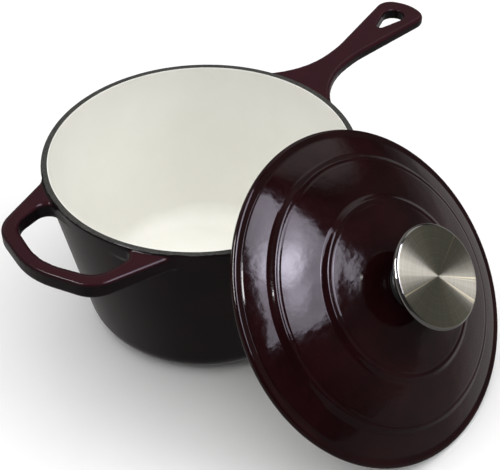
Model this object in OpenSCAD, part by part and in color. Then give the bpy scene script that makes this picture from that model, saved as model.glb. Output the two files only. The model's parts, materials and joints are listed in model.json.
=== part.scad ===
// Enamelled cast-iron saucepan with a long handle, a loop helper handle and a lid.
// The lid leans on the side of the pan, with its lower edge on the table.
// Origin: centre of the pan's foot. +Z up, +X along the long handle.

/* [Pan] */
// Inside diameter of the mouth
mouth_d = 180; // [170:1:190]
// Height from the table to the top of the rim
pan_h = 115.7; // [108:0.1:124]
// Thickness of the wall, enamel included
wall = 4.3; // [3.8:0.1:5.5]
// Thickness of the iron floor
floor_t = 5; // [4:0.1:7]
// Diameter where the wall's line would meet the table
base_d = 146; // [138:1:156]
// Outside radius of the rounded bottom corner
corner_r = 20; // [14:0.5:26]
// Thickness of the cream enamel inside the pan and the lid
enamel_t = 0.5; // [0.3:0.05:0.8]

/* [Long handle] */
// Distance from the pan's axis to the handle's tip
grip_reach = 223; // [212:1:250]
// Width at the waist
grip_waist_w = 16.8; // [14:0.1:20]
// Distance from the pan's axis to the waist
waist_x = 138; // [132:1:146]
// Width at the widest part of the paddle
grip_end_w = 34.8; // [30:0.1:38]
// Thickness of the handle
grip_t = 7.4; // [6:0.1:11]
// Drop of the handle's top face below the rim, at the wall
grip_drop = 4.5; // [3.5:0.1:9]
// Rise of the handle towards its tip, in degrees
grip_rise = 0.8; // [0:0.1:2]
// Radius of the round end of the paddle
grip_end_r = 27; // [24:0.5:32]
// Radius of the paddle's shoulders
shoulder_r = 9; // [6:0.5:11]
// Radius of the wide end of the hanging hole
hang_r = 7.3; // [5:0.1:8.5]
// Radius of the narrow end of the hanging hole
hang_tip_r = 2.6; // [2:0.1:4]
// Distance between the two ends' centres of the hanging hole
hang_len = 16; // [10:0.5:20]

/* [Loop handle] */
// Distance from the pan's axis to the loop's outer edge
loop_reach = 133.6; // [128:0.1:142]
// Width of the loop where it meets the rim
loop_root_w = 104; // [96:1:110]
// Width across the loop's outer corners
loop_corner_w = 77; // [70:1:84]
// Width of the bar round the finger gap
loop_bar = 8.2; // [7:0.1:10]
// Thickness of the loop
loop_t = 11; // [8:0.5:14]
// Drop of the loop's top face below the rim, at the wall
loop_drop = 0.4; // [0.3:0.1:4]
// Rise of the loop towards its outer edge, in degrees
loop_rise = 2.2; // [0:0.1:4]
// Turn of the loop from the line of the long handle, in degrees
loop_turn = -1.6; // [-4:0.1:4]

/* [Lid] */
// Outside diameter of the lid
lid_d = 194; // [192:0.1:200]
// Thickness of the lid's edge
edge_t = 4.5; // [3.5:0.1:5]
// Thickness of the lid's dome, enamel included
dome_t = 4.4; // [3.6:0.1:5]
// Spherical radius of the dome
dome_r = 167; // [160:1:180]
// Height of the dome above the face that sits on the rim
dome_h = 32; // [30:0.5:35]
// Radius of the outer ring on the dome
ring_1_r = 77.2; // [74:0.1:80]
// Radius of the inner ring on the dome
ring_2_r = 50.5; // [46:0.1:54]
// Height of the two rings
ring_h = 1.1; // [0.6:0.1:1.6]
// Outside radius of the locating ring under the lid
seat_r = 88; // [86:0.1:88.6]
// Depth of the locating ring
seat_h = 3.8; // [2.5:0.1:5]

/* [Knob] */
// Diameter of the steel cap
cap_d = 59.5; // [50:0.5:64]
// Height of the steel cap
cap_h = 4.8; // [4.4:0.1:8]
// Height of the knob above the dome
knob_h = 23; // [21:0.5:30]
// Diameter of the neck
neck_d = 23; // [18:0.5:30]
// Diameter of the screw
screw_d = 6; // [5:0.1:6.5]

/* [Pose] */
// Lean of the leaning lid's axis from vertical
lid_lean = 47; // [44:0.5:52]
// Direction in which the lid leans, from the long handle
lid_az = -89.2; // [-100:0.1:-80]

/* [Hidden] */
$fn = 96;
arc_steps = 8;      // straight steps in each rounded corner
dome_steps = 10;    // straight steps along each stretch of the dome
rest_gap = 0.3;     // gap left at the two points where the lid rests on the rim
eps = 0.01;

// Pan
mouth_r = mouth_d / 2;
rim_r = mouth_r + wall;
base_r = base_d / 2;
rim_round = 1.3;                        // rounding of the rim's edges
taper = atan((rim_r - base_r) / pan_h);
slant = enamel_t / cos(taper);          // the lining's thickness, measured level
cavity_r = corner_r - wall;             // rounded corner inside the lining
bare_rim = 0.5;                         // height of bare rim above the lining
handle_start = mouth_r / 2;             // both handles' outlines start inside the pan

// Long handle
grip_top = pan_h - grip_drop - rim_r * tan(grip_rise);
waist = grip_waist_w / 2;
waist_len = 12;                         // from the waist to where the sides open out
waist_bend = 70;                        // radius of that bend
flare_r = (waist_x * waist_x + waist * waist - rim_r * rim_r) / (2 * (rim_r - waist));
flare_c = [waist_x, waist + flare_r];
end_c = [grip_reach - grip_end_r, 0];
shoulder_y = grip_end_w / 2 - shoulder_r;
shoulder_a = asin(shoulder_y / (grip_end_r - shoulder_r));
shoulder_c = end_c + (grip_end_r - shoulder_r) * [cos(shoulder_a), sin(shoulder_a)];
waist_end = [waist_x + waist_len, waist];
side_a = atan2(shoulder_c[1] - waist, shoulder_c[0] - waist_end[0])
       + asin(shoulder_r / norm(shoulder_c - waist_end));
side_end = shoulder_c + shoulder_r * [cos(side_a + 90), sin(side_a + 90)];
hang_edge = 19;                         // from the tip to the hanging hole's wide end
hang_x = grip_reach - hang_edge;
rib_w = 10;                             // rib under the root of the handle
rib_len = 42;
rib_h = 14;
rib_bury = 6;                           // how far the rib runs into the wall
rib_toe = 2;

// Loop handle
loop_top = pan_h - loop_drop - rim_r * tan(loop_rise);
loop_bow = 2.1;                         // how far the rounded end falls short of its corner
loop_point = 12;                        // how far the middle of the end stands past its corners
loop_corner_r = 20;
loop_nose_r = 45;
root_x = sqrt(rim_r * rim_r - pow(loop_root_w / 2, 2));
gap_root_r = 7;                         // corners of the finger gap, from the wall outwards
gap_corner_r = 14;
gap_nose_r = 40;
gap_root_in = 2.7;                      // how far its sides stand in from the loop's corners
gap_corner_in = 5.5;
gap_nose_in = 0.4;

// Lid
lid_r = lid_d / 2;
edge_r = edge_t / 2;
dome_c = dome_h - dome_r;
inner_r = dome_r - dome_t;              // spherical radius of the enamel under the dome
iron_r = inner_r + enamel_t;
lip_r = lid_r - 5.6;                    // inner edge of the flat band round the lid
lip_slope = 0.9;
lip_rise = 0.5;
ring_half = 2.4;                        // half width of a ring
ring_step = 0.45;                       // spacing of the points across a ring's crest
ring_round = 0.12;                      // drop of those points from the crest
ring_out = -0.8;                        // dome's height just outside a ring
ring_in = 0.4;                          // and just inside it
seat_in = seat_r - 3.7;
seat_draft = 0.4;                       // narrowing of the locating ring towards its lower edge
seat_round = 1;
pad_r = 16.5;                           // flat pad under the knob
pad_slope = 3;
pad_w = dome_h + 0.6;
spot_r = 9.5;                           // flat spot for the washers
spot_w = dome_h - dome_t + 0.3;
hole_r = screw_d / 2 + 0.3;

// Knob, heights along the lid's own axis
gasket_r = pad_r - 2.5;
gasket_t = 0.8;
body_w = pad_w + gasket_t;
cap_top = dome_h + knob_h;
cap_r = cap_d / 2;
cap_t = 0.8;
cap_low = cap_top - cap_h;
neck_r = neck_d / 2;
foot_r = neck_r + 3.5;                  // spread foot of the neck
neck_bend = 4;                          // length of the flares at the neck's two ends
head_low = cap_r - 3.8;                 // lower, widest and upper radius of the knob's head
head_mid = cap_r - 2;
head_high = cap_r - 3.4;
head_side = 2.2;
skirt_r = cap_r - 2.2;                  // lower edge of the cap, turned in
cap_bevel = 1.6;
cap_side = 2;
cap_bend = 1.6;
insert_r = 4.5;
insert_w = body_w + 1;
insert_len = 12;
washer_r = 8.5;
washer_t = 1;
lock_r = screw_d - 0.2;
lock_t = 1.5;
lock_gap = 1.2;
head_w = spot_w - washer_t - lock_t;
head_h = 3.6;
head_r = screw_d;
slot_w = 1.4;                           // cross recess in the screw's head
slot_len = 6.4;
slot_deep = 2.2;
screw_top = insert_w + insert_len - 1;

// Resting place of the lid: its edge is on the table and the bottom of its locating ring
// meets the rim at two points
lid_z = (lid_r - edge_r) * sin(lid_lean) + edge_r * (1 - cos(lid_lean));
ease = 1 - sqrt(0.5);                   // how far a round corner falls short of a sharp one
rim_rise = pan_h - ease * rim_round - lid_z;
rest_r = rim_r - ease * rim_round;
ring_r = seat_in + ease * seat_round;
rest_out = (ease * seat_round - seat_h - rest_gap - rim_rise * cos(lid_lean)) / sin(lid_lean);
rest_s = rim_rise * sin(lid_lean) - rest_out * cos(lid_lean);
rest_a = asin(sqrt(ring_r * ring_r - rest_s * rest_s) / rest_r);
lid_out = rest_r * cos(rest_a) - rest_out;

function unit(v) = v / norm(v);
function polar(r, a) = r * [cos(a), sin(a)];
function short_turn(a, b) = b - a > 180 ? b - a - 360 : b - a < -180 ? b - a + 360 : b - a;
function arc(c, r, a, b) = [for (i = [0:arc_steps]) c + polar(r, a + (b - a) * i / arc_steps)];

// Points that round the corner b between a and c with radius r
function corner(a, b, c, r) = r == 0 ? [b] :
    let (u = unit(a - b), v = unit(c - b), half = acos(u * v) / 2,
         m = b + unit(u + v) * r / sin(half),
         from = b + u * r / tan(half) - m, to = b + v * r / tan(half) - m,
         start = atan2(from[1], from[0]), stop = atan2(to[1], to[0]))
    arc(m, r, start, start + short_turn(start, stop));

// Closed outline through points given as [x, y, corner radius]
function rounded(p) = let (n = len(p)) [for (i = [0:n - 1])
    let (a = p[(i + n - 1) % n], b = p[i], c = p[(i + 1) % n])
    each corner([a[0], a[1]], [b[0], b[1]], [c[0], c[1]], b[2])];

function mirrored(p) = concat(p, [for (i = [len(p) - 1:-1:0]) [p[i][0], -p[i][1]]]);
function on_wall(r, z) = r - (pan_h - z) * tan(taper);

// Half section of the hollow of the pan, with its wall moved out and its floor down by t
function cavity(t) = rounded([
    [0, floor_t + enamel_t - t, 0],
    [on_wall(mouth_r + t / cos(taper), floor_t + enamel_t - t), floor_t + enamel_t - t, cavity_r + t],
    [on_wall(mouth_r + t / cos(taper), pan_h - bare_rim), pan_h - bare_rim, 0],
    [0, pan_h - bare_rim, 0]]);

module pan_outside() {
    rotate_extrude() polygon(rounded([
        [0, 0, 0],
        [base_r, 0, corner_r],
        [rim_r, pan_h, rim_round],
        [0, pan_h, 0]]));
}

module pan_hollow() {
    rotate_extrude() polygon(cavity(enamel_t));
    translate([0, 0, pan_h - bare_rim - eps])
        cylinder(r = mouth_r, h = bare_rim + 1);
}

module hang_hole() {
    meet = 180 - acos((hang_r - hang_tip_r) / hang_len);
    polygon(mirrored(concat(
        arc([0, 0], hang_r, 0, meet / 2),
        arc([0, 0], hang_r, meet / 2, meet),
        arc([-hang_len, 0], hang_tip_r, meet, 180))));
}

module grip_outline() {
    start_a = atan2(flare_c[1], flare_c[0]);
    polygon(mirrored(concat(
        [[handle_start, rim_r * sin(start_a)]],
        arc(flare_c, flare_r, 180 + start_a, 270),
        corner([waist_x, waist], waist_end, side_end, waist_bend),
        arc(shoulder_c, shoulder_r, 90 + side_a, shoulder_a),
        arc(end_c, grip_end_r, shoulder_a, 0))));
}

module long_handle() {
    low = -grip_t - rib_h;
    rib_in = mouth_r - rib_bury;
    translate([0, 0, grip_top]) rotate([0, -grip_rise, 0]) {
        translate([0, 0, -grip_t]) linear_extrude(grip_t) difference() {
            grip_outline();
            translate([hang_x, 0]) hang_hole();
        }
        translate([0, rib_w / 2, 0]) rotate([90, 0, 0]) linear_extrude(rib_w)
            polygon([[rib_in, -grip_t / 2], [rim_r + rib_len, -grip_t / 2],
                     [rim_r + rib_len, -grip_t], [on_wall(rim_r, grip_top + low) - rib_toe, low],
                     [rib_in, low]]);
    }
}

module loop_outline(half, root, nose) {
    corner_x = nose - loop_point;
    polygon(rounded([
        [handle_start, root, 0], [root_x, root, 0], [corner_x, half, loop_corner_r],
        [nose, 0, loop_nose_r], [corner_x, -half, loop_corner_r], [root_x, -root, 0],
        [handle_start, -root, 0]]));
}

module finger_gap(half, nose) {
    corner_x = nose - loop_point - loop_bar;
    root_y = half - gap_root_in;
    corner_y = half - gap_corner_in;
    polygon(rounded([
        [mouth_r, root_y, gap_root_r], [corner_x, corner_y, gap_corner_r],
        [nose - loop_bar - gap_nose_in, 0, gap_nose_r], [corner_x, -corner_y, gap_corner_r],
        [mouth_r, -root_y, gap_root_r]]));
}

module loop_handle() {
    half = loop_corner_w / 2;
    nose = loop_reach + loop_bow;
    rotate([0, 0, 180 + loop_turn]) translate([0, 0, loop_top]) rotate([0, -loop_rise, 0])
    translate([0, 0, -loop_t]) linear_extrude(loop_t) difference() {
        loop_outline(half, loop_root_w / 2, nose);
        finger_gap(half, nose);
    }
}

module pot_casting() {
    color("#2a191c") difference() {
        union() {
            pan_outside();
            long_handle();
            loop_handle();
        }
        pan_hollow();
    }
}

module pot_lining() {
    color("#e4e2da") difference() {
        rotate_extrude() polygon(cavity(enamel_t));
        rotate_extrude() polygon(cavity(0));
        translate([0, 0, pan_h - bare_rim - 1])
            cylinder(r = on_wall(mouth_r, pan_h - bare_rim - 1), h = 2);
    }
}

// The lid's own frame: seat face at height 0, axis up, moved to where the lid rests
module at_lid() {
    rotate([0, 0, lid_az]) translate([lid_out, 0, lid_z]) rotate([0, lid_lean, 0]) children();
}

// A point at radius r and height h over the dome
function dome(r, h) = [r, dome_c + sqrt(pow(dome_r + h, 2) - r * r)];
function stretch(r1, h1, r2, h2) = [for (i = [0:dome_steps])
    dome(r1 + (r2 - r1) * i / dome_steps, h1 + (h2 - h1) * i / dome_steps)];
function ring(r) = concat([dome(r + ring_half, ring_out)],
    [for (i = [-2:2]) dome(r - ring_step * i, ring_h - ring_round * i * i)],
    [dome(r - ring_half, ring_in)]);
function under(r, a, b) = [for (i = [0:2 * dome_steps])
    let (x = a + (b - a) * i / (2 * dome_steps)) [x, dome_c + sqrt(r * r - x * x)]];

module lid_casting() {
    at_lid() color("#26090d") rotate_extrude() polygon(concat(
        [[hole_r, spot_w], [spot_r, spot_w]],
        under(iron_r, spot_r, seat_in),
        corner([seat_in, 0], [seat_in, -seat_h], [seat_r, -seat_h], seat_round),
        corner([seat_in, -seat_h], [seat_r - seat_draft, -seat_h], [seat_r, 0], seat_round),
        [[seat_r, 0]],
        arc([lid_r - edge_r, edge_r], edge_r, -90, 90),
        [[lip_r + lip_slope, edge_t]],
        stretch(lip_r, lip_rise, ring_1_r + ring_half, ring_out),
        ring(ring_1_r),
        stretch(ring_1_r - ring_half, ring_in, ring_2_r + ring_half, ring_out),
        ring(ring_2_r),
        stretch(ring_2_r - ring_half, ring_in, pad_r + pad_slope, 0),
        [[pad_r, pad_w], [hole_r, pad_w]]));
}

module lid_lining() {
    at_lid() color("#e4e2da") rotate_extrude() polygon(concat(
        under(iron_r, spot_r, seat_in),
        under(inner_r, seat_in, spot_r)));
}

module knob_gasket() {
    at_lid() color("#3a3a3a") translate([0, 0, pad_w]) difference() {
        cylinder(r = gasket_r, h = gasket_t);
        translate([0, 0, -1]) cylinder(r = hole_r, h = gasket_t + 2);
    }
}

module knob_body() {
    top = cap_top - cap_t;
    at_lid() color("#141414") difference() {
        rotate_extrude() polygon(rounded([
            [0, body_w, 0], [foot_r, body_w, 0.8], [neck_r, body_w + neck_bend, 5],
            [neck_r, cap_low - neck_bend, 6], [head_low, cap_low, 1.2],
            [head_mid, top - head_side, 2], [head_high, top, 1.2], [0, top, 0]]));
        translate([0, 0, body_w - 1]) cylinder(r = hole_r, h = insert_w - body_w + 2);
        translate([0, 0, insert_w]) cylinder(r = insert_r, h = insert_len + 1);
    }
}

module knob_insert() {
    at_lid() color("#b08d4a") translate([0, 0, insert_w]) difference() {
        cylinder(r = insert_r, h = insert_len);
        translate([0, 0, -1]) cylinder(r = screw_d / 2 + 0.05, h = insert_len + 2);
    }
}

// Pressed steel shell over the knob's head, its lower edge turned in
module knob_cap() {
    top = [cap_r - cap_bevel, cap_top];
    side = [cap_r, cap_top - cap_side];
    skirt = [skirt_r, cap_low];
    inside_top = [cap_r - cap_bevel - cap_t, cap_top - cap_t];
    inside = [cap_r - cap_t, cap_top - cap_side - cap_t / 2];
    inside_skirt = [skirt_r - cap_t, cap_low];
    centre = [0, cap_top - cap_t];
    at_lid() color("#9c9c90") rotate_extrude() polygon(concat(
        [[0, cap_top]],
        corner([0, cap_top], top, side, cap_bevel),
        corner(top, side, skirt, cap_bend),
        [skirt, inside_skirt],
        corner(inside_skirt, inside, inside_top, cap_bevel),
        corner(inside, inside_top, centre, cap_bevel / 2),
        [centre]));
}

module knob_washer() {
    at_lid() color("#b4b4b4") translate([0, 0, spot_w - washer_t]) difference() {
        cylinder(r = washer_r, h = washer_t);
        translate([0, 0, -1]) cylinder(r = hole_r, h = washer_t + 2);
    }
}

module knob_lock_washer() {
    at_lid() color("#9a9a9a") translate([0, 0, spot_w - washer_t - lock_t]) difference() {
        cylinder(r = lock_r, h = lock_t);
        translate([0, 0, -1]) cylinder(r = hole_r, h = lock_t + 2);
        translate([0, -lock_gap / 2, -1]) cube([lock_r + 1, lock_gap, lock_t + 2]);
    }
}

module knob_screw() {
    at_lid() color("#b8b8b8") difference() {
        union() {
            rotate_extrude() polygon(rounded([
                [0, head_w - head_h, 0], [head_r, head_w - head_h, 1.6],
                [head_r, head_w, 0], [0, head_w, 0]]));
            translate([0, 0, head_w - eps])
                cylinder(r = screw_d / 2, h = screw_top - head_w + eps);
        }
        for (a = [0, 90]) rotate([0, 0, a])
            translate([-slot_len / 2, -slot_w / 2, head_w - head_h - 1])
                cube([slot_len, slot_w, slot_deep + 1]);
    }
}

pot_casting();
pot_lining();
lid_casting();
lid_lining();
knob_gasket();
knob_body();
knob_insert();
knob_cap();
knob_washer();
knob_lock_washer();
knob_screw();
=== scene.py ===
"""Enamelled cast-iron saucepan with a long handle, a loop handle and a lid leaning on its rim.

The pan and the lid are turned on a lathe, point by point. The two handles are distance fields, rounded and
blended into the pan's wall, and meshed here. Lengths in shapes are millimetres, the scene's are metres.
"""
import json
import math

import bpy
import numpy as np
from mathutils import Matrix, Vector


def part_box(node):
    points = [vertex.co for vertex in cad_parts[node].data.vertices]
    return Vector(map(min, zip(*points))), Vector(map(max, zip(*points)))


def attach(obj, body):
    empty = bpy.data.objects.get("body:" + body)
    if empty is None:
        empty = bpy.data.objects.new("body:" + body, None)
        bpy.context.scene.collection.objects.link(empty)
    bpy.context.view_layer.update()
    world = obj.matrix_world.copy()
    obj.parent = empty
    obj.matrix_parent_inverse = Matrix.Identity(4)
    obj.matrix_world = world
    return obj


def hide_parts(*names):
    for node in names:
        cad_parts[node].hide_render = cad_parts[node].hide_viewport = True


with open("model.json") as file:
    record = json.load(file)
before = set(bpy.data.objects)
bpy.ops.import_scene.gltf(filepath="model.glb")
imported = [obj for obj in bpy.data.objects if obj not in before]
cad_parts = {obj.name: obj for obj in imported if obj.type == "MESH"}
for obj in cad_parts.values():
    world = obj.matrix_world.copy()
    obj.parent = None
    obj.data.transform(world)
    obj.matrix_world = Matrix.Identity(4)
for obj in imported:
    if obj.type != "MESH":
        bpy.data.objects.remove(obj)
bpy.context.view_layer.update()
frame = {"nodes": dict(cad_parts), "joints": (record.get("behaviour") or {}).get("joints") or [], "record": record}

MM = 0.001
TURNS = 288                      # straight steps round a lathe shape
ARC = math.radians(6)            # longest step in a rounded corner


def box_mm(node):
    low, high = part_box(node)
    return np.array(low) / MM, np.array(high) / MM


# ---------------------------------------------------------------- places and sizes

pot_high = box_mm("pot_casting")[1]
lining_low, lining_high = box_mm("pot_lining")

BARE_RIM = 0.5                   # rim above the enamel's edge
ENAMEL = 0.5                     # thickness of the cream enamel
WALL = 4.3
RIM_ROUND = 1.3
rim_z = lining_high[2] + BARE_RIM
floor_z = lining_low[2]
rim_r = pot_high[1] + 0.2 * RIM_ROUND  # the rounding takes this much off the corner
mouth_r = rim_r - WALL
BASE_R = 73.0                    # where the wall's line meets the table
CORNER_R = 20.0
taper = math.atan((rim_r - BASE_R) / rim_z)

# Long handle
grip_tip = pot_high[0]
GRIP_T = 7.4
GRIP_TOP_ROUND, GRIP_LOW_ROUND = 2.7, 2.8
GRIP_DROP = 4.5                  # top face below the rim, at the wall
GRIP_RISE = math.tan(math.radians(0.8))
WAIST_X, WAIST = 138.0, 8.4      # place and half width of the waist
WAIST_LEN, WAIST_BEND = 12.0, 70.0  # its straight part, and the curve after it
TIP_R = 27.0
PADDLE = 17.4                    # half width of the paddle
SHOULDER_R = 11.0
HANG_EDGE, HANG_LEN = 19.0, 16.0  # from the tip to the wide end's centre, and on to the narrow end's
HANG_R, HANG_TIP_R = 7.3, 2.6    # radius of the two ends
HANG_ROUND = 1.2                 # rounding of the hole's edges
RIB_HALF, RIB_LEN, RIB_H = 5.0, 42.0, 14.0  # the rib under the handle's root
RIB_SLOPE, RIB_FILLET = 0.9, 2.5

# Loop handle
LOOP_T = 11.0
LOOP_TOP_ROUND, LOOP_LOW_ROUND = 2.4, 3.2
LOOP_DROP = 0.4
LOOP_RISE = math.tan(math.radians(2.2))
LOOP_TURN = math.radians(-1.6)
LOOP_NOSE = 135.7                # its end from the pan's axis, before rounding
LOOP_POINT = 12.0                # the corners lie this far in from the end
LOOP_ROOT, LOOP_CORNER = 52.0, 38.5  # half widths at the wall and at the corners
LOOP_CORNER_R, LOOP_NOSE_R = 20.0, 45.0
LOOP_BAR, LOOP_GRIP = 8.2, 8.6   # width at the corners and in the middle
GAP_ROOT, GAP_CORNER = LOOP_CORNER - 2.7, LOOP_CORNER - 5.5
GAP_ROOT_R, GAP_CORNER_R, GAP_NOSE_R = 7.0, 14.0, 40.0

PITCH = 0.85                     # cell of the handles' meshes
GRIP_FILLET, LOOP_FILLET = 3.0, 2.2

# The lid's own frame: its axis is the joint's axis, and the brass insert is centred on it
INSERT_W = 40.4                  # height of the insert's centre over the face that sits on the rim
lid_axis = Vector(frame["joints"][0]["axis"]).normalized()
insert_low, insert_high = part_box("knob_insert")
lid_seat = (insert_low + insert_high) / 2 - lid_axis * INSERT_W * MM
lid_place = Matrix.Translation(lid_seat) @ lid_axis.to_track_quat("Z", "Y").to_matrix().to_4x4()

LID_R = 97.0
LIP_R = LID_R - 5.6              # where the dome's edge drops to the flat band
LIP_RISE, LIP_LEAN, LIP_ROUND = 0.5, 0.7, 0.5  # over the plain sphere, out at its foot, rounding
EDGE_T = 4.5
DOME_R, DOME_H, DOME_T = 167.0, 32.0, 4.4
DOME_C = DOME_H - DOME_R         # height of the sphere's centre
hollow_r = DOME_R - DOME_T + ENAMEL
RINGS = (77.2, 50.5)
STEP_HALF, STEP_LOW, STEP_HIGH = 3.2, -0.6, 0.35  # half width, and heights outside and inside a ring
BEAD_H, BEAD_W = 0.75, 1.5
SEAT_R, SEAT_IN, SEAT_H = 88.0, 84.3, 3.8  # the locating ring under the lid
SEAT_LEAN, SEAT_ROUND = 0.4, 1.0
PAD_R, PAD_W, PAD_BLEND = 16.5, DOME_H + 0.6, 43.0  # the knob's pad, and where the swell to it starts
SPOT_R, SPOT_W = 9.5, DOME_H - DOME_T + 0.3  # the flat face under the washer
HOLE_R = 3.3
CAP_TOP, CAP_R, CAP_H = 55.0, 29.75, 4.8
CAP_T = 0.8                      # thickness of its sheet
GASKET_T = 0.8
NECK_R = 11.5


# ---------------------------------------------------------------- outlines

def polar(radius, angle):
    return radius * np.array([math.cos(angle), math.sin(angle)])


def arc(centre, radius, start, stop):
    steps = max(2, math.ceil(abs(stop - start) / ARC))
    return [np.asarray(centre) + polar(radius, start + (stop - start) * i / steps) for i in range(steps + 1)]


def unit(v):
    return v / np.linalg.norm(v)


def corner(a, b, c, radius):
    """Points that round the corner b between a and c."""
    a, b, c = (np.asarray(p, float) for p in (a, b, c))
    if radius == 0:
        return [b]
    u, v = unit(a - b), unit(c - b)
    half = math.acos(np.clip(u @ v, -1, 1)) / 2
    middle = b + unit(u + v) * radius / math.sin(half)
    start = b + u * radius / math.tan(half) - middle
    stop = b + v * radius / math.tan(half) - middle
    first = math.atan2(start[1], start[0])
    turn = math.atan2(stop[1], stop[0]) - first
    turn = (turn + math.pi) % (2 * math.pi) - math.pi
    return arc(middle, radius, first, first + turn)


def rounded(points, closed=True):
    """The outline through points given as (x, y, corner radius)."""
    made = []
    for i, (x, y, radius) in enumerate(points):
        before, after = points[i - 1], points[(i + 1) % len(points)]
        if not closed and i in (0, len(points) - 1):
            made.append(np.array([x, y], float))
        else:
            made += corner(before[:2], (x, y), after[:2], radius)
    return made


def mirrored(points):
    return points + [np.array([x, -y]) for x, y in reversed(points)]


def wall_r(radius, z):
    """Radius of a sloping wall that has this radius at the rim."""
    return radius - (rim_z - z) * math.tan(taper)


# ---------------------------------------------------------------- meshes

def new_object(name, vertices, faces, normals, place=None):
    """A smooth mesh. Vertices are in millimetres, in the part's frame or in the one that place gives."""
    mesh = bpy.data.meshes.new(name)
    mesh.from_pydata((np.asarray(vertices) * MM).tolist(), [], [list(map(int, f)) for f in faces])
    mesh.validate()
    mesh.shade_smooth()
    mesh.normals_split_custom_set_from_vertices(np.asarray(normals).tolist())
    made = bpy.data.objects.new(name, mesh)
    bpy.context.scene.collection.objects.link(made)
    if place is not None:
        made.matrix_world = place
    return made


def lathe(name, profile, place=None, closed=False):
    """Turns a profile of (radius, height) points round Z. Anticlockwise profiles face outwards."""
    p = np.array(profile, float)
    keep = np.linalg.norm(p - np.roll(p, 1, axis=0), axis=1) > 1e-4
    keep[0] |= not closed
    p = p[keep]
    step = np.roll(p, -1, axis=0) - p
    if not closed:
        step[-1] = 0
    side = np.stack([step[:, 1], -step[:, 0]], 1)
    flat = side + np.roll(side, 1, axis=0)
    flat /= np.linalg.norm(flat, axis=1)[:, None]
    angle = 2 * math.pi * np.arange(TURNS) / TURNS
    vertices, normals, rows = [], [], []
    for (radius, z), (nr, nz) in zip(p, flat):
        if radius < 1e-6:
            rows.append([len(vertices)] * TURNS)
            vertices.append((0, 0, z))
            normals.append((0, 0, math.copysign(1, nz)))
            continue
        rows.append(list(range(len(vertices), len(vertices) + TURNS)))
        vertices += [(radius * math.cos(a), radius * math.sin(a), z) for a in angle]
        normals += [(nr * math.cos(a), nr * math.sin(a), nz) for a in angle]
    faces = []
    for low, high in zip(rows, rows[1:] + ([rows[0]] if closed else [])):
        for i in range(TURNS):
            j = (i + 1) % TURNS
            face = [low[i], low[j], high[j], high[i]]
            face = [v for k, v in enumerate(face) if v != face[k - 1]]
            faces.append(face)
    return new_object(name, vertices, faces, normals, place)


# ---------------------------------------------------------------- distance fields

def outline_distance(outline, x, y):
    """Distance from each (x, y) to a closed outline, negative inside."""
    nearest = np.full(x.shape, np.inf)
    inside = np.zeros(x.shape, bool)
    for a, b in zip(outline, outline[1:] + outline[:1]):
        d = b - a
        length = d @ d
        if length < 1e-12:
            continue
        t = np.clip(((x - a[0]) * d[0] + (y - a[1]) * d[1]) / length, 0, 1)
        nearest = np.minimum(nearest, (x - a[0] - t * d[0]) ** 2 + (y - a[1] - t * d[1]) ** 2)
        if a[1] != b[1]:
            crosses = (a[1] > y) != (b[1] > y)
            inside ^= crosses & (x < a[0] + (y - a[1]) * d[0] / d[1])
    return np.where(inside, -1, 1) * np.sqrt(nearest)


def wall_distance(x, y, z):
    """Distance to the pan's outside wall, negative in the iron."""
    return (np.hypot(x, y) - wall_r(rim_r, z)) * math.cos(taper)


def plate_distance(flat, height, thick, top_round, low_round):
    """Distance to a plate with rounded edges. Flat is measured from its outline, height from its top."""
    middle = height + thick / 2
    edge = np.where(middle > 0, top_round, low_round)
    a, b = flat + edge, np.abs(middle) - thick / 2 + edge
    return np.hypot(np.maximum(a, 0), np.maximum(b, 0)) + np.minimum(np.maximum(a, b), 0) - edge


def blended(a, b, radius):
    """Union of two fields with a fillet between them."""
    fillet = np.hypot(np.maximum(radius - a, 0), np.maximum(radius - b, 0))
    return np.maximum(radius, np.minimum(a, b)) - fillet


def surface(field, low, high, pitch, rounds=4):
    """Mesh of a field's zero surface: one vertex in each cell that it crosses, moved onto the surface."""
    axes = [np.arange(a, b + pitch, pitch) for a, b in zip(low, high)]
    value = field(*np.meshgrid(*axes, indexing="ij"))
    sign = value < 0
    shape = np.array(sign.shape) - 1
    total = np.zeros((*shape, 3))
    count = np.zeros(shape)
    corners = [(i, j, k) for i in (0, 1) for j in (0, 1) for k in (0, 1)]

    def at(array, c):
        return array[tuple(slice(c[n], shape[n] + c[n]) for n in range(3))]

    for a in corners:
        for axis in range(3):
            if a[axis]:
                continue
            b = tuple(v + (n == axis) for n, v in enumerate(a))
            crossed = at(sign, a) != at(sign, b)
            va, vb = at(value, a), at(value, b)
            share = np.where(crossed, va / np.where(crossed, va - vb, 1), 0)
            for n in range(3):
                total[..., n] += np.where(crossed, a[n] + (share if n == axis else 0), 0)
            count += crossed
    used = count > 0
    number = np.full(shape, -1)
    number[used] = np.arange(used.sum())
    cells = np.argwhere(used)
    points = np.array(low) + (cells + total[used] / count[used][:, None]) * pitch
    quads = []
    for axis in range(3):
        u, v = (axis + 1) % 3, (axis + 2) % 3
        here = [slice(1, -1)] * 3
        here[axis] = slice(0, -1)
        there = list(here)
        there[axis] = slice(1, None)
        s0, s1 = sign[tuple(here)], sign[tuple(there)]
        edge = np.argwhere(s0 != s1)
        outward = s0[tuple(edge.T)]
        edge[:, u] += 1
        edge[:, v] += 1
        ring = []
        for du, dv in ((1, 1), (0, 1), (0, 0), (1, 0)):
            cell = edge.copy()
            cell[:, u] -= du
            cell[:, v] -= dv
            ring.append(number[tuple(cell.T)])
        ring = np.stack(ring, 1)
        ring[~outward] = ring[~outward][:, ::-1]
        quads.append(ring)
    quads = np.concatenate(quads)
    for n in range(rounds):
        points = settle(field, points, pitch)
        if n < rounds - 1:
            points = relax(points, quads)
    return points, quads


def gradient(field, points, reach):
    """Slope of the field at each point, from its values this far to each side."""
    slope = np.empty_like(points)
    for n in range(3):
        step = np.zeros(3)
        step[n] = reach
        slope[:, n] = (field(*(points + step).T) - field(*(points - step).T)) / (2 * reach)
    return slope


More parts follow.
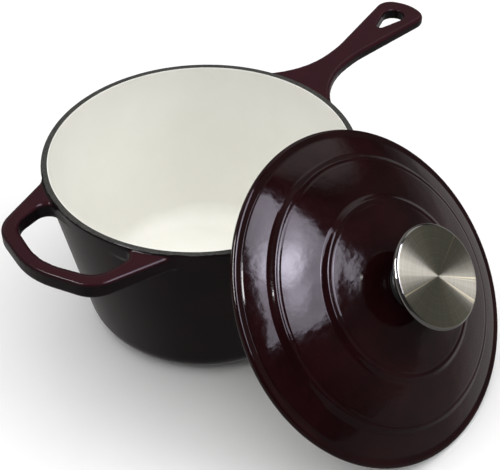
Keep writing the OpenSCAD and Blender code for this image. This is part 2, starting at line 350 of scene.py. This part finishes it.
def settle(field, points, pitch):
    """Moves each point down the slope onto the surface, twice, and never far in terms of the pitch."""
    reach, least_slope, most = 0.02, 0.25, 0.4 * pitch
    for _ in range(2):
        slope = gradient(field, points, reach)
        size = np.maximum((slope ** 2).sum(1), least_slope)
        move = -(field(*points.T) / size)[:, None] * slope
        length = np.linalg.norm(move, axis=1)
        points = points + move * np.minimum(1, most / np.maximum(length, 1e-9))[:, None]
    return points


def relax(points, quads, share=0.4):
    """Moves each point this share of the way to the middle of its neighbours."""
    total, count = np.zeros_like(points), np.zeros(len(points))
    for i in range(4):
        for j in (1, 3):
            np.add.at(total, quads[:, i], points[quads[:, (i + j) % 4]])
            np.add.at(count, quads[:, i], 1)
    return points + share * (total / count[:, None] - points)


def handle_mesh(name, handle, low, high, fillet, angle=0.0):
    """A handle with the fillet that joins it to the wall. It is looked for between the corners low and high,
    reaches a little way into the wall, and its fillet ends just proud of it."""
    bury, proud = 1.6, 0.03

    def joined(x, y, z):
        return blended(handle(x, y, z), wall_distance(x, y, z), fillet)

    def kept(x, y, z):
        wall = wall_distance(x, y, z)
        whole = joined(x, y, z)
        return np.maximum.reduce([whole, -(wall + bury), whole - wall + proud, z - rim_z + BARE_RIM])

    points, quads = surface(kept, low, high, PITCH)
    normals = gradient(joined, points, 0.05)
    normals /= np.linalg.norm(normals, axis=1)[:, None]
    turn = np.array(Matrix.Rotation(angle, 3, "Z"))
    return new_object(name, points @ turn.T, quads, normals @ turn.T)


# ---------------------------------------------------------------- the pan

def cavity(depth):
    """Half section of the pan's hollow, moved out by depth, from the floor's centre up to the rim."""
    out = depth / math.cos(taper)
    low = floor_z + ENAMEL - depth
    inner = CORNER_R - WALL
    return rounded([(0, low, 0), (wall_r(mouth_r + out, low), low, inner + depth),
                    (wall_r(mouth_r + out, rim_z - BARE_RIM), rim_z - BARE_RIM, 0)], closed=False)


def pan_body():
    under_rim = rim_z - 2 * RIM_ROUND
    outside = rounded([(0, 0, 0), (BASE_R, 0, CORNER_R), (rim_r, rim_z, RIM_ROUND),
                       (mouth_r, rim_z, RIM_ROUND), (mouth_r, under_rim, 0)], closed=False)
    inside = [p for p in reversed(cavity(ENAMEL)) if p[1] < under_rim - 0.4]
    return lathe("pan", outside + inside)


def pan_lining():
    front, back = cavity(0), cavity(ENAMEL)
    front_round, back_round = 0.22, 0.15
    edge = (corner(front[-2], front[-1], back[-1], front_round)
            + corner(front[-1], back[-1], back[-2], back_round))
    return lathe("pan_lining", front[:-1] + edge + back[-2::-1])


def grip_outline():
    flare = (WAIST_X ** 2 + WAIST ** 2 - rim_r ** 2) / (2 * (rim_r - WAIST))
    flare_c = np.array([WAIST_X, WAIST + flare])
    start = math.atan2(flare_c[1], flare_c[0])
    end_c = np.array([grip_tip - TIP_R, 0])
    shoulder = math.asin((PADDLE - SHOULDER_R) / (TIP_R - SHOULDER_R))
    shoulder_c = end_c + polar(TIP_R - SHOULDER_R, shoulder)
    waist_end = np.array([WAIST_X + WAIST_LEN, WAIST])
    reach = shoulder_c - waist_end
    side = math.atan2(reach[1], reach[0]) + math.asin(SHOULDER_R / np.linalg.norm(reach))
    side_end = shoulder_c + polar(SHOULDER_R, side + math.pi / 2)
    return mirrored(
        [np.array([mouth_r / 2, rim_r * math.sin(start)])]
        + arc(flare_c, flare, math.pi + start, 1.5 * math.pi)
        + corner((WAIST_X, WAIST), waist_end, side_end, WAIST_BEND)
        + arc(shoulder_c, SHOULDER_R, math.pi / 2 + side, shoulder)
        + arc(end_c, TIP_R, shoulder, 0))


def hang_outline():
    centre = np.array([grip_tip - HANG_EDGE, 0])
    meet = math.pi - math.acos((HANG_R - HANG_TIP_R) / HANG_LEN)
    return mirrored(arc(centre, HANG_R, 0, meet) + arc(centre - [HANG_LEN, 0], HANG_TIP_R, meet, math.pi))


def long_handle():
    outline, hole = grip_outline(), hang_outline()
    top = rim_z - GRIP_DROP - rim_r * GRIP_RISE
    rib_end = rim_r + RIB_LEN

    def handle(x, y, z):
        flat = outline_distance(outline, x, y)
        open_at = outline_distance(hole, x, y)
        height = z - top - x * GRIP_RISE
        plate = plate_distance(flat, height, GRIP_T, GRIP_TOP_ROUND, GRIP_LOW_ROUND)
        face = np.abs(height + GRIP_T / 2) - GRIP_T / 2
        edge = np.hypot(np.maximum(HANG_ROUND - open_at, 0), np.maximum(face + HANG_ROUND, 0)) - HANG_ROUND
        plate = np.where(open_at > HANG_ROUND, plate, np.maximum(plate, edge))
        share = np.clip((rib_end - x) / RIB_LEN, 0, 1)
        depth = (-height - GRIP_T - RIB_H * share) * RIB_SLOPE
        rib = np.maximum.reduce([np.abs(y) - RIB_HALF, depth, x - rib_end, height + GRIP_T / 2])
        return blended(plate, rib, RIB_FILLET)

    low, high = (74, -66, 82), (grip_tip + 2, 66, rim_z + 1)
    return handle_mesh("long_handle", handle, low, high, GRIP_FILLET)


def loop_handle():
    x_corner = LOOP_NOSE - LOOP_POINT
    root_x = math.sqrt(rim_r ** 2 - LOOP_ROOT ** 2)
    buried_x, gap_x = 45, x_corner - LOOP_BAR
    outline = rounded([(buried_x, LOOP_ROOT, 0), (root_x, LOOP_ROOT, 0),
                       (x_corner, LOOP_CORNER, LOOP_CORNER_R), (LOOP_NOSE, 0, LOOP_NOSE_R),
                       (x_corner, -LOOP_CORNER, LOOP_CORNER_R),
                       (root_x, -LOOP_ROOT, 0), (buried_x, -LOOP_ROOT, 0)])
    gap = rounded([(mouth_r, GAP_ROOT, GAP_ROOT_R), (gap_x, GAP_CORNER, GAP_CORNER_R),
                   (LOOP_NOSE - LOOP_GRIP, 0, GAP_NOSE_R), (gap_x, -GAP_CORNER, GAP_CORNER_R),
                   (mouth_r, -GAP_ROOT, GAP_ROOT_R)])
    top = rim_z - LOOP_DROP - rim_r * LOOP_RISE

    def handle(x, y, z):
        flat = np.maximum(outline_distance(outline, x, y), -outline_distance(gap, x, y))
        return plate_distance(flat, z - top - x * LOOP_RISE, LOOP_T, LOOP_TOP_ROUND, LOOP_LOW_ROUND)

    low, high = (66, -62, 92), (LOOP_NOSE + 1, 62, rim_z + 3)
    return handle_mesh("loop_handle", handle, low, high, LOOP_FILLET, math.pi + LOOP_TURN)


# ---------------------------------------------------------------- the lid and its knob

def dome(radius, height=0.0):
    return np.array([radius, DOME_C + math.sqrt((DOME_R + height) ** 2 - radius ** 2)])


def under(radius, start, stop, steps=40):
    return [np.array([r, DOME_C + math.sqrt(radius ** 2 - r ** 2)]) for r in np.linspace(start, stop, steps)]


def dome_height(r):
    """Height of the lid's top over its plain sphere: a step and a bead at each ring, a swell to the pad."""
    stops = [LIP_R, *(ring + side for ring in RINGS for side in (STEP_HALF, -STEP_HALF)), PAD_R]
    levels = [LIP_RISE, STEP_LOW, STEP_HIGH, STEP_LOW, STEP_HIGH, 0.0]
    step = np.interp(-r, [-stop for stop in stops], levels)
    bead = BEAD_H * sum(math.exp(-((r - ring) / BEAD_W) ** 2) for ring in RINGS)
    share = np.clip((PAD_BLEND - r) / (PAD_BLEND - PAD_R), 0, 1)
    swell = (PAD_W - dome(PAD_R)[1]) * share ** 2 * (3 - 2 * share)
    return step + bead + swell


def lid_body():
    near_rings = [ring + s for ring in RINGS for s in np.linspace(-4, 4, 41)]
    radii = sorted({*np.linspace(PAD_R, LIP_R - 0.9, 96), *near_rings}, reverse=True)
    top = [dome(r, dome_height(r)) for r in radii]
    hollow = under(hollow_r, SPOT_R + 1, SEAT_IN - 1.2)
    spot, spot_edge = (HOLE_R, SPOT_W), (SPOT_R, SPOT_W)
    seat_in, seat_out, seat_root = (SEAT_IN, -SEAT_H), (SEAT_R - SEAT_LEAN, -SEAT_H), (SEAT_R, 0)
    edge = EDGE_T / 2
    band, lip, lip_top = (LID_R - edge, EDGE_T), (LIP_R + LIP_LEAN, EDGE_T), dome(LIP_R, LIP_RISE)
    profile = (
        [spot]
        + corner(spot, spot_edge, hollow[0], 0.3)
        + hollow
        + corner((SEAT_IN, 6), seat_in, (SEAT_R, -SEAT_H), SEAT_ROUND)
        + corner(seat_in, seat_out, seat_root, SEAT_ROUND)
        + corner(seat_out, seat_root, (LID_R, 0), 0.4)
        + arc((LID_R - edge, edge), edge, -math.pi / 2, math.pi / 2)
        + corner(band, lip, lip_top, LIP_ROUND)
        + corner(lip, lip_top, top[0], LIP_ROUND)
        + top
        + [(HOLE_R, PAD_W)])
    return lathe("lid", profile, lid_place, closed=True)


def lid_lining():
    back = under(hollow_r, SPOT_R, SEAT_IN)
    front = under(hollow_r - ENAMEL, SEAT_IN, SPOT_R)
    return lathe("lid_lining", back + front, lid_place, closed=True)


def knob_body():
    foot_w, low, top = PAD_W + GASKET_T, CAP_TOP - CAP_H, CAP_TOP - CAP_T
    profile = rounded([
        (HOLE_R, foot_w, 0), (NECK_R + 3.5, foot_w, 0.8), (NECK_R, foot_w + 4, 5), (NECK_R, low - 4, 6),
        (CAP_R - 3.8, low, 1.2), (CAP_R - 2.0, top - 2.2, 2), (CAP_R - 3.4, top, 1.2), (HOLE_R, top, 0)])
    return lathe("knob", profile, lid_place, closed=True)


def knob_cap():
    middle, inner_middle = (0, CAP_TOP), (0, CAP_TOP - CAP_T)
    top, side, skirt = (CAP_R - 1.7, CAP_TOP), (CAP_R, CAP_TOP - 2.1), (CAP_R - 2.2, CAP_TOP - CAP_H)
    inner_top, inner_side = (CAP_R - 2.4, CAP_TOP - CAP_T), (CAP_R - CAP_T, CAP_TOP - 2.4)
    inner = (CAP_R - 3.0, CAP_TOP - CAP_H)
    outside = (corner(inner, skirt, side, 0.3) + corner(skirt, side, top, 1.7)
               + corner(side, top, middle, 1.9))
    inside = (corner(inner_middle, inner_top, inner_side, 0.8)
              + corner(inner_top, inner_side, inner, 1.4) + corner(inner_side, inner, skirt, 0.2))
    return lathe("knob_cap", [inner_middle] + inside + outside + [middle], lid_place)


# ---------------------------------------------------------------- materials

VALUE_OPERATIONS = ("LENGTH", "DISTANCE", "DOT_PRODUCT")


class Nodes:
    """Short ways to add to a node tree. Numbers given for an input are set on its own socket."""

    def __init__(self, tree):
        self.tree = tree

    def node(self, kind, settings=None, **inputs):
        """Adds a node. An input goes by its name, with _ for each space, or by _ and its number."""
        made = self.tree.nodes.new(kind)
        for key, value in (settings or {}).items():
            setattr(made, key, value)
        for key, value in inputs.items():
            socket = made.inputs[int(key[1:])] if key[0] == "_" else made.inputs[key.replace("_", " ")]
            self.feed(socket, value)
        return made

    def feed(self, socket, value):
        if isinstance(value, bpy.types.NodeSocket):
            self.tree.links.new(value, socket)
        else:
            socket.default_value = value

    def math(self, operation, a, b):
        return self.node("ShaderNodeMath", {"operation": operation}, _0=a, _1=b).outputs[0]

    def vector_math(self, operation, a, b=(0, 0, 0)):
        made = self.node("ShaderNodeVectorMath", {"operation": operation}, _0=a, _1=b)
        return made.outputs["Value" if operation in VALUE_OPERATIONS else "Vector"]

    def noise(self, vector, scale, detail=2.0, roughness=0.5):
        made = self.node("ShaderNodeTexNoise", Vector=vector, Scale=scale, Detail=detail,
                         Roughness=roughness)
        return made.outputs["Fac"]

    def ramp(self, value, low, high, to_low=0.0, to_high=1.0):
        """A smooth step from to_low, where value is low or less, to to_high."""
        made = self.node("ShaderNodeMapRange", {"interpolation_type": "SMOOTHSTEP"}, Value=value)
        for key, number in (("From Min", low), ("From Max", high), ("To Min", to_low), ("To Max", to_high)):
            made.inputs[key].default_value = number
        return made.outputs["Result"]


class Shader(Nodes):
    """A material with one Principled node."""

    def __init__(self, name, **principled):
        self.material = bpy.data.materials.new(name)
        self.material.use_nodes = True
        super().__init__(self.material.node_tree)
        self.tree.nodes.clear()
        output = self.node("ShaderNodeOutputMaterial")
        self.bsdf = self.node("ShaderNodeBsdfPrincipled", **principled)
        self.feed(output.inputs["Surface"], self.bsdf.outputs["BSDF"])

    def set(self, **inputs):
        for key, value in inputs.items():
            self.feed(self.bsdf.inputs[key.replace("_", " ")], value)

    def place(self):
        return self.node("ShaderNodeTexCoord").outputs["Object"]

    def spread(self, noise, to_low=0.0, to_high=1.0):
        """A noise stretched, as it seldom comes near 0 or 1."""
        return self.ramp(noise, 0.3, 0.7, to_low, to_high)

    def mottled(self, noise, low, high):
        """A colour that wanders between two others with the noise."""
        return self.mix(self.spread(noise), low, high)

    def mix(self, share, a, b):
        made = self.node("ShaderNodeMix", {"data_type": "RGBA"}, _0=share)
        self.feed(made.inputs[6], a)
        self.feed(made.inputs[7], b)
        return made.outputs[2]

    def bump(self, height, distance, strength=1.0, normal=None):
        made = self.node("ShaderNodeBump", Height=height, Distance=distance, Strength=strength)
        if normal is not None:
            self.feed(made.inputs["Normal"], normal)
        return made.outputs["Normal"]

    def flat(self, place):
        return self.vector_math("MULTIPLY", place, (1, 1, 0))

    def radius(self, place):
        """Distance from the object's Z axis, and height along it."""
        height = self.node("ShaderNodeSeparateXYZ", Vector=place).outputs["Z"]
        return self.vector_math("LENGTH", self.flat(place)), height


def outer_enamel():
    """Gloss enamel, nearly black on the wall, with a painted top light: its colour turns to a lighter dark wine as
    a face turns up, as on top of the handles. The rim is bare iron, and the enamel's edge just outside it is
    ragged."""
    s = Shader("outer_enamel", IOR=1.5, Specular_IOR_Level=0.2)
    place = s.place()
    radius, z = s.radius(place)
    facing = s.node("ShaderNodeSeparateXYZ", Vector=s.node("ShaderNodeNewGeometry").outputs["Normal"])
    off_rim = s.ramp(radius, (rim_r + 0.2) * MM, (rim_r + 1.2) * MM)
    # painted top light: the colour goes from near-black to lighter wine the more a face turns up, away from the
    # rim, standing in for light from above
    painted_top_light = s.math("MULTIPLY", s.ramp(facing.outputs["Z"], 0.05, 0.7), off_rim)
    wine = s.mix(painted_top_light, (0.0055, 0.004, 0.0045, 1), (0.0245, 0.006, 0.009, 1))
    clouds = s.spread(s.noise(place, 45.0, 3.0), 0.0, 0.35)
    wine = s.mix(clouds, wine, (0.015, 0.0055, 0.007, 1))
    ragged = s.math("MULTIPLY", s.noise(place, 60.0, 4.0, 0.7), 3.0 * MM)
    near_rim = s.ramp(s.math("ADD", radius, ragged), (rim_r + 0.6) * MM, (rim_r + 0.9) * MM, 1.0, 0.0)
    high = s.ramp(z, (rim_z - 2.1) * MM, (rim_z - 1.5) * MM)
    bare = s.math("MULTIPLY", near_rim, high)
    grain = s.noise(place, 900.0, 4.0, 0.7)
    iron = s.mottled(grain, (0.01, 0.01, 0.009, 1), (0.056, 0.056, 0.051, 1))
    rough = s.spread(s.noise(place, 160.0, 3.0), 0.13, 0.2)
    waves = s.bump(s.noise(place, 110.0, 2.0), 0.00008)
    casting = s.bump(s.math("MULTIPLY", grain, bare), 0.00025, 0.8, waves)
    s.set(Base_Color=s.mix(bare, wine, iron), Normal=casting,
          Roughness=s.math("ADD", rough, s.math("MULTIPLY", bare, 0.42)))
    return s.material


def lid_enamel():
    """Deep wine gloss with the slight waviness of poured enamel."""
    s = Shader("lid_enamel", IOR=1.5, Specular_IOR_Level=0.42)
    place = s.place()
    cloud = s.noise(place, 40.0, 3.0)
    colour = s.mottled(cloud, (0.0062, 0.001, 0.0014, 1), (0.011, 0.002, 0.0028, 1))
    rough = s.spread(s.noise(place, 220.0, 4.0), 0.07, 0.12)
    waves = s.bump(s.noise(place, 85.0, 2.5), 0.00018)
    peel = s.bump(s.noise(place, 420.0, 2.0), 0.00002, 1.0, waves)
    s.set(Base_Color=colour, Roughness=rough, Normal=peel)
    return s.material


def inner_enamel():
    """Cream gloss enamel with faint clouding and pinholes."""
    s = Shader("inner_enamel", IOR=1.5, Specular_IOR_Level=0.2)
    place = s.place()
    cloud = s.noise(place, 30.0, 4.0, 0.6)
    speck = s.ramp(s.noise(place, 1500.0, 1.0), 0.74, 0.8)
    cream = s.mottled(cloud, (0.775, 0.77, 0.72, 1), (0.795, 0.79, 0.745, 1))
    rough = s.spread(s.noise(place, 140.0, 3.0), 0.42, 0.5)
    s.set(Base_Color=s.mix(s.math("MULTIPLY", speck, 0.15), cream, (0.5, 0.48, 0.43, 1)), Roughness=rough,
          Normal=s.bump(s.noise(place, 120.0, 2.0), 0.00004))
    return s.material


def knob_black():
    s = Shader("knob_black", IOR=1.5)
    place = s.place()
    grain = s.noise(place, 2600.0, 3.0, 0.6)
    colour = s.mottled(grain, (0.008, 0.008, 0.008, 1), (0.014, 0.014, 0.014, 1))
    s.set(Base_Color=colour, Roughness=s.spread(s.noise(place, 200.0), 0.28, 0.4),
          Normal=s.bump(grain, 0.00002))
    return s.material


def knob_steel():
    """Stainless steel, polished round the side. The top is brushed in circles with streaks outwards, and has a few
    painted glints: thin pale yellow highlights put into its colour.
    """
    s = Shader("knob_steel", Metallic=1.0, Anisotropic=0.95, Anisotropic_Rotation=0.25)
    place = s.place()
    radius, z = s.radius(place)
    tangent = s.node("ShaderNodeTangent", {"direction_type": "RADIAL", "axis": "Z"}).outputs[0]
    top = s.ramp(z, (CAP_TOP - 0.3) * MM, (CAP_TOP - 0.05) * MM)
    circles = s.node("ShaderNodeCombineXYZ", X=radius).outputs[0]
    lines = s.noise(circles, 5200.0, 4.0, 0.75)
    broad = s.noise(circles, 900.0, 3.0, 0.6)
    outwards = s.vector_math("NORMALIZE", s.flat(place))
    streaks = s.noise(outwards, 18.0, 4.0, 0.7)
    tone = s.math("ADD", s.math("MULTIPLY", lines, 0.45), s.math("MULTIPLY", broad, 0.3))
    tone = s.math("ADD", tone, s.math("MULTIPLY", streaks, 0.25))
    brushed = s.mix(s.ramp(tone, 0.36, 0.64), (0.33, 0.325, 0.24, 1), (0.52, 0.515, 0.405, 1))
    # painted glints: a few thin pale yellow highlight streaks outwards, put into the colour of the top
    painted_glints = s.ramp(s.noise(outwards, 7.0, 3.0), 0.62, 0.68)
    brushed = s.mix(painted_glints, brushed, (0.9, 0.86, 0.58, 1))
    rough = s.spread(lines, 0.24, 0.32)
    s.set(Base_Color=s.mix(top, (0.5, 0.49, 0.47, 1), brushed), Tangent=tangent,
          Roughness=s.math("ADD", 0.1, s.math("MULTIPLY", top, rough)),
          Normal=s.bump(s.math("MULTIPLY", lines, top), 0.000008))
    return s.material


def plain_metal(name, low, high, rough):
    """Turned metal: fine noise in colour, gloss and height."""
    s = Shader(name, Metallic=1.0)
    place = s.place()
    grain = s.noise(place, 1400.0, 4.0, 0.65)
    s.set(Base_Color=s.mottled(grain, low, high),
          Roughness=s.spread(s.noise(place, 600.0), rough, rough + 0.12), Normal=s.bump(grain, 0.00001))
    return s.material


def gasket_grey():
    s = Shader("gasket_grey", IOR=1.45)
    place = s.place()
    grain = s.noise(place, 1800.0, 4.0, 0.7)
    s.set(Base_Color=s.mottled(grain, (0.012, 0.012, 0.012, 1), (0.022, 0.022, 0.022, 1)),
          Roughness=s.spread(grain, 0.6, 0.75), Normal=s.bump(grain, 0.00002))
    return s.material


def floor_paper():
    s = Shader("floor_paper", Roughness=0.9)
    grain = s.noise(s.place(), 14.0, 4.0)
    s.set(Base_Color=s.mottled(grain, (0.76, 0.76, 0.76, 1), (0.78, 0.78, 0.78, 1)))
    return s.material


# ---------------------------------------------------------------- studio

# The photo's camera, fitted to the circles of the pan and the lid
VIEW_AZ, VIEW_EL, VIEW_ROLL = (math.radians(a) for a in (-50.16, 40.81, -0.97))
VIEW_DISTANCE = 0.7435
VIEW_AIM = Vector((0.0179, -0.0223, 0.0492))
LENS = 85.2
view_right = Vector((math.cos(VIEW_AZ), math.sin(VIEW_AZ), 0))
view_back = Vector((math.sin(VIEW_AZ) * math.cos(VIEW_EL), -math.cos(VIEW_AZ) * math.cos(VIEW_EL),
                    math.sin(VIEW_EL)))
view_up = view_back.cross(view_right)


def from_view(right, back, up):
    """A direction given to the right of the view, back towards the viewer and up."""
    level_back = Vector((view_back.x, view_back.y, 0)).normalized()
    return view_right * right + level_back * back + Vector((0, 0, up))


def camera():
    data = bpy.data.cameras.new("camera")
    data.lens = LENS
    data.sensor_width = 36
    data.clip_start, data.clip_end = 0.05, 30
    made = bpy.data.objects.new("camera", data)
    turn = Matrix.Rotation(VIEW_ROLL, 3, view_back)
    axes = Matrix((turn @ view_right, turn @ view_up, view_back)).transposed()
    made.matrix_world = Matrix.Translation(VIEW_AIM + view_back * VIEW_DISTANCE) @ axes.to_4x4()
    bpy.context.scene.collection.objects.link(made)
    bpy.context.scene.camera = made


FLOOR = 8.0                      # half its width
FLOOR_GAP = 0.0003               # keeps it clear of the pan's foot


def floor():
    """A pale floor that isn't mirrored: the glossy pieces mirror the room instead, also from below."""
    mesh = bpy.data.meshes.new("floor")
    corners = [(-FLOOR, -FLOOR, 0), (FLOOR, -FLOOR, 0), (FLOOR, FLOOR, 0), (-FLOOR, FLOOR, 0)]
    mesh.from_pydata(corners, [], [(0, 1, 2, 3)])
    made = bpy.data.objects.new("floor", mesh)
    made.location.z = -FLOOR_GAP
    mesh.materials.append(floor_paper())
    made.visible_glossy = made.visible_shadow = False
    bpy.context.scene.collection.objects.link(made)


def room():
    """A dim room round the table, mostly dark, with a few paler stretches of wall and a paler underside."""
    world = bpy.data.worlds.new("room")
    world.use_nodes = True
    nodes = Nodes(world.node_tree)
    toward = nodes.node("ShaderNodeTexCoord").outputs["Generated"]

    def share(direction, low, high, to_low, to_high):
        """Changes from to_low to to_high as the cosine of the angle to the direction goes up."""
        cosine = nodes.vector_math("DOT_PRODUCT", toward, direction.normalized())
        return nodes.ramp(cosine, low, high, to_low, to_high)

    left, right = from_view(-1, -0.3, 0), from_view(1, 0, 0.15)
    low_right, high_behind = from_view(0.72, -0.57, -0.38), from_view(0.55, -0.9, 1.0)
    behind = from_view(-0.35, -0.8, 0.5)
    stretches = ((left, 0.0, 0.8, 0.16), (right, 0.6, 0.97, 0.09), (low_right, 0.78, 0.97, 0.25),
                 (high_behind, 0.93, 0.985, 0.5), (behind, 0.6, 0.95, 0.1))
    total = share(Vector((0, 0, 1)), -0.05, 0.0, 0.15, 0.03)
    for direction, low, high, strength in stretches:
        total = nodes.math("ADD", total, share(direction, low, high, 0.0, strength))
    background = nodes.tree.nodes["Background"]
    nodes.feed(background.inputs["Color"], (1.0, 0.97, 0.95, 1))
    nodes.feed(background.inputs["Strength"], total)
    bpy.context.scene.world = world


def softbox(name, place, facing, size, radiance, mirrored=False, colour=(1, 1, 1)):
    """A card of light at place, shining against the direction facing. It is mirrored, or it only lights."""
    data = bpy.data.lights.new(name, "AREA")
    data.shape = "RECTANGLE"
    data.size, data.size_y = size
    data.energy = radiance * math.pi * size[0] * size[1]
    data.color = colour
    made = bpy.data.objects.new(name, data)
    made.visible_diffuse = not mirrored
    made.visible_glossy = mirrored
    back = Vector(facing).normalized()
    side = (view_right - back * back.dot(view_right)).normalized()
    axes = Matrix((side, back.cross(side), back)).transposed()
    made.matrix_world = Matrix.Translation(place) @ axes.to_4x4()
    bpy.context.scene.collection.objects.link(made)
    return data


def overhead():
    """A wide bright ceiling, the same over the whole floor."""
    data = bpy.data.lights.new("overhead", "SUN")
    data.angle = math.radians(86)
    data.energy = 3.3
    made = bpy.data.objects.new("overhead", data)
    made.visible_glossy = False
    bpy.context.scene.collection.objects.link(made)


# The window's sides: a direction across the card, in degrees, and how far the window reaches that way
WINDOW_SIDES = ((71, 0.97), (-154, -0.44), (-57, 0.28), (14, 0.92))
# Its brighter clouds: place on the card, radius and added light
WINDOW_CLOUDS = ((0.4, 0.56, 0.17, 2.6), (0.43, 0.66, 0.18, 0.9),
                 (0.52, 0.4, 0.16, 0.6), (0.45, 0.6, 0.5, 0.35))


def clouded_window(light):
    """Makes a card a window seen aslant: four ragged sides, soft clouds and a few brighter ones."""
    light.use_nodes = True
    nodes = Nodes(light.node_tree)
    across = nodes.node("ShaderNodeNewGeometry").outputs["Parametric"]
    ragged = nodes.math("MULTIPLY", nodes.noise(across, 9.0, 2.0), 0.06)
    strength = nodes.ramp(nodes.noise(across, 4.0, 3.0), 0.35, 0.65, 0.75, 1.1)
    for u, v, radius, added in WINDOW_CLOUDS:
        gap = nodes.vector_math("DISTANCE", across, (u, v, 0))
        strength = nodes.math("ADD", strength, nodes.ramp(gap, 0.0, radius, added, 0.0))
    for angle, reach in WINDOW_SIDES:
        outward = (*polar(1, math.radians(angle)), 0)
        side = nodes.math("ADD", nodes.vector_math("DOT_PRODUCT", across, outward), ragged)
        strength = nodes.math("MULTIPLY", strength, nodes.ramp(side, reach, reach + 0.02, 1.0, 0.0))
    nodes.feed(nodes.tree.nodes["Emission"].inputs["Strength"], strength)


def studio():
    """Cards that light the pieces softly, and cards that only the glossy pieces mirror."""
    room()
    bpy.context.scene.view_settings.view_transform = "Standard"
    overhead()
    up = (0, 0, 1)
    softbox("left", from_view(-1.5, 0.5, 0.9), from_view(-1.5, 0.5, 0.8), (1.2, 1.2), 1.4)
    softbox("right", from_view(1.5, 0.3, 1.0), from_view(1.5, 0.3, 0.9), (1.2, 1.2), 2.6)
    softbox("front", from_view(0.3, 1.6, 1.1), from_view(0.3, 1.6, 1.0), (1.4, 1.0), 0.5)
    window = softbox("window", from_view(0.6, 0.45, 1.0), up, (1.2, 1.4), 4.2, mirrored=True,
                     colour=(0.97, 0.92, 1.1))
    clouded_window(window)
    softbox("strip", from_view(-0.66, 0.35, 1.0), up, (0.24, 0.8), 22.0, mirrored=True)


# ---------------------------------------------------------------- putting it together

MATERIALS = {
    "outer_enamel": outer_enamel(),
    "inner_enamel": inner_enamel(),
    "lid_enamel": lid_enamel(),
    "knob_black": knob_black(),
    "knob_steel": knob_steel(),
    "gasket_grey": gasket_grey(),
    "insert_brass": plain_metal("insert_brass", (0.52, 0.36, 0.13, 1), (0.66, 0.47, 0.2, 1), 0.25),
    "fixing_steel": plain_metal("fixing_steel", (0.42, 0.42, 0.41, 1), (0.58, 0.58, 0.57, 1), 0.3),
}


def finish_piece(piece, body, slot, *nodes):
    piece.data.materials.append(MATERIALS[slot])
    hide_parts(*nodes)
    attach(piece, body)


finish_piece(pan_body(), "pot", "outer_enamel", "pot_casting")
finish_piece(long_handle(), "pot", "outer_enamel", "pot_casting")
finish_piece(loop_handle(), "pot", "outer_enamel", "pot_casting")
finish_piece(pan_lining(), "pot", "inner_enamel", "pot_lining")
finish_piece(lid_body(), "lid", "lid_enamel", "lid_casting")
finish_piece(lid_lining(), "lid", "inner_enamel", "lid_lining")
finish_piece(knob_body(), "lid", "knob_black", "knob_body")
finish_piece(knob_cap(), "lid", "knob_steel", "knob_cap")

# The hidden pieces keep their CAD meshes and get a material
for row in frame["record"]["subparts"]:
    node = frame["nodes"][row["node"]]
    if not node.hide_render:
        node.data.materials.clear()
        node.data.materials.append(MATERIALS[row["material_slot"]])

floor()
studio()
camera()
